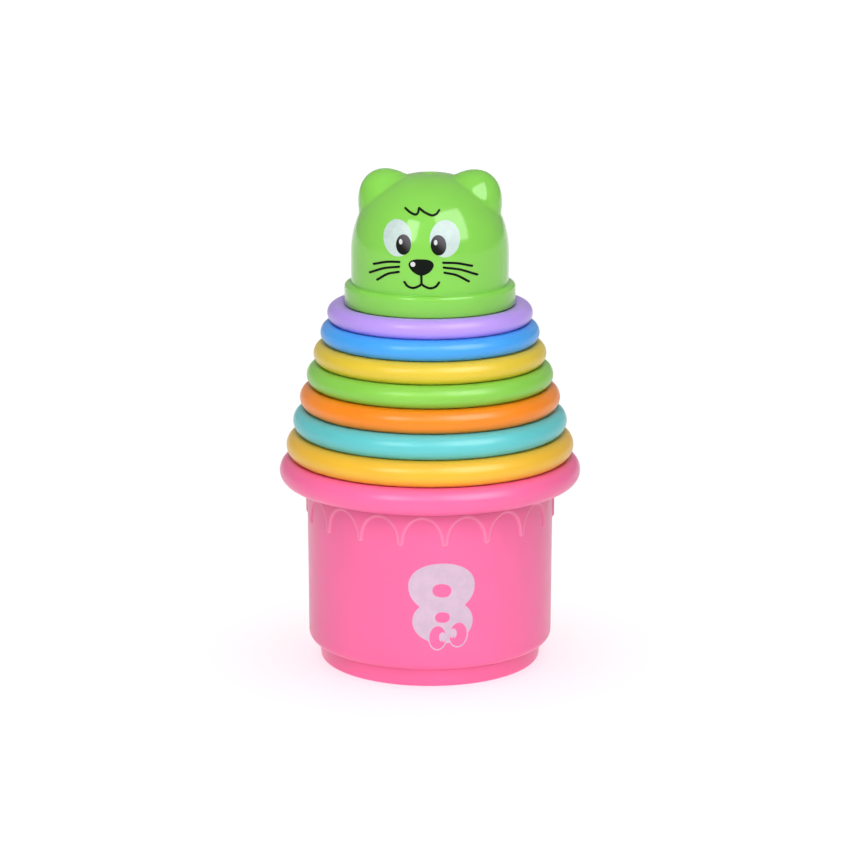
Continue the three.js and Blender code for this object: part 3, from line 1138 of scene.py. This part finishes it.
def make_sky():
    """Plain white surroundings, brightest at the horizon, that light the surfaces only faintly."""
    stage = bpy.context.scene.tower_stage
    world = bpy.data.worlds.new("sky")
    world.use_nodes = True
    tree = world.node_tree
    sky = tree.nodes["Background"]
    sky.inputs["Color"].default_value = (1.0, 1.0, 1.0, 1.0)
    way = tree.nodes.new("ShaderNodeTexCoord")
    split = tree.nodes.new("ShaderNodeSeparateXYZ")
    climb = tree.nodes.new("ShaderNodeMapRange")
    climb.inputs["To Min"].default_value = stage.horizon
    climb.inputs["To Max"].default_value = stage.zenith
    path = tree.nodes.new("ShaderNodeLightPath")
    dim = tree.nodes.new("ShaderNodeMix")
    dim.inputs["B"].default_value = stage.sky
    tree.links.new(way.outputs["Generated"], split.inputs[0])
    tree.links.new(split.outputs["Z"], climb.inputs["Value"])
    tree.links.new(climb.outputs["Result"], dim.inputs["A"])
    tree.links.new(path.outputs["Is Diffuse Ray"], dim.inputs["Factor"])
    tree.links.new(dim.outputs["Result"], sky.inputs["Strength"])
    bpy.context.scene.world = world


# Operators --------------------------------------------------------------------------------------------


class TOWER_OT_stage(bpy.types.Operator):
    """Make the camera, the pale floor and the soft lights"""

    bl_idname = "tower.stage"
    bl_label = "Stage"

    def execute(self, context):
        make_camera()
        floor = make_floor()
        make_sky()
        make_floor_light("floor_light", floor, 2.75, shadow=False)
        make_floor_light("floor_shade", floor, 0.45, shadow=True)
        for softbox in SOFTBOXES:
            make_softbox(floor, *softbox)
        context.scene.view_settings.view_transform = "Standard"
        return {"FINISHED"}


class TOWER_OT_cups(bpy.types.Operator):
    """Mould the eight nesting cups"""

    bl_idname = "tower.cups"
    bl_label = "Cups"

    def execute(self, context):
        drips = context.scene.tower_cups.drips
        make_cup(0, 33 * drips, 0.33 * MM)
        for place in range(1, len(CUPS)):
            make_cup(place, 20 * drips, 0.45 * MM)
        return {"FINISHED"}


class TOWER_OT_numerals(bpy.types.Operator):
    """Print a numeral on the wall of each cup"""

    bl_idname = "tower.numerals"
    bl_label = "Numerals"

    def execute(self, context):
        grid = context.scene.tower_ink.grid
        make_numeral(0, grid)
        for place in range(1, len(CUPS)):
            make_numeral(place, 1.4 * grid)
        return {"FINISHED"}


class TOWER_OT_head(bpy.types.Operator):
    """Mould the hollow cat's head"""

    bl_idname = "tower.head"
    bl_label = "Cat's head"

    def execute(self, context):
        make_head(360)
        return {"FINISHED"}


class TOWER_OT_face(bpy.types.Operator):
    """Print the cat's eyes, nose, mouth, whiskers and tuft"""

    bl_idname = "tower.face"
    bl_label = "Face"

    def execute(self, context):
        make_face()
        return {"FINISHED"}


class TOWER_PT_panel(bpy.types.Panel):
    """Steps that build the tower, in order"""

    bl_idname = "TOWER_PT_panel"
    bl_label = "Cup Tower"
    bl_space_type = "VIEW_3D"
    bl_region_type = "UI"
    bl_category = "Cup Tower"

    def draw(self, context):
        for step in STEPS:
            self.layout.operator(step.bl_idname)
        for name in SETTINGS:
            box = self.layout.box()
            group = getattr(context.scene, name)
            for key in group.__annotations__:
                box.prop(group, key)


STEPS = [TOWER_OT_stage, TOWER_OT_cups, TOWER_OT_numerals, TOWER_OT_head, TOWER_OT_face]
SETTINGS = {
    "tower_cups": CupSettings,
    "tower_head": HeadSettings,
    "tower_ink": InkSettings,
    "tower_colours": ColourSettings,
    "tower_stage": StageSettings,
}


def register():
    """Add the settings, steps and panel to Blender."""
    for name, group in SETTINGS.items():
        bpy.utils.register_class(group)
        setattr(bpy.types.Scene, name, PointerProperty(type=group))
    for step in [*STEPS, TOWER_PT_panel]:
        bpy.utils.register_class(step)


def unregister():
    """Take the settings, steps and panel away again."""
    for step in [TOWER_PT_panel, *reversed(STEPS)]:
        bpy.utils.unregister_class(step)
    for name, group in SETTINGS.items():
        delattr(bpy.types.Scene, name)
        bpy.utils.unregister_class(group)


def main():
    """Build everything in order."""
    register()
    bpy.ops.tower.stage()
    bpy.ops.tower.cups()
    bpy.ops.tower.numerals()
    bpy.ops.tower.head()
    bpy.ops.tower.face()
    boxes = {"cad": CAD_BOX, "visual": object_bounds()}
    plain = {name: [[float(v) for v in corner] for corner in box] for name, box in boxes.items()}


if __name__ == "__main__":
    main()
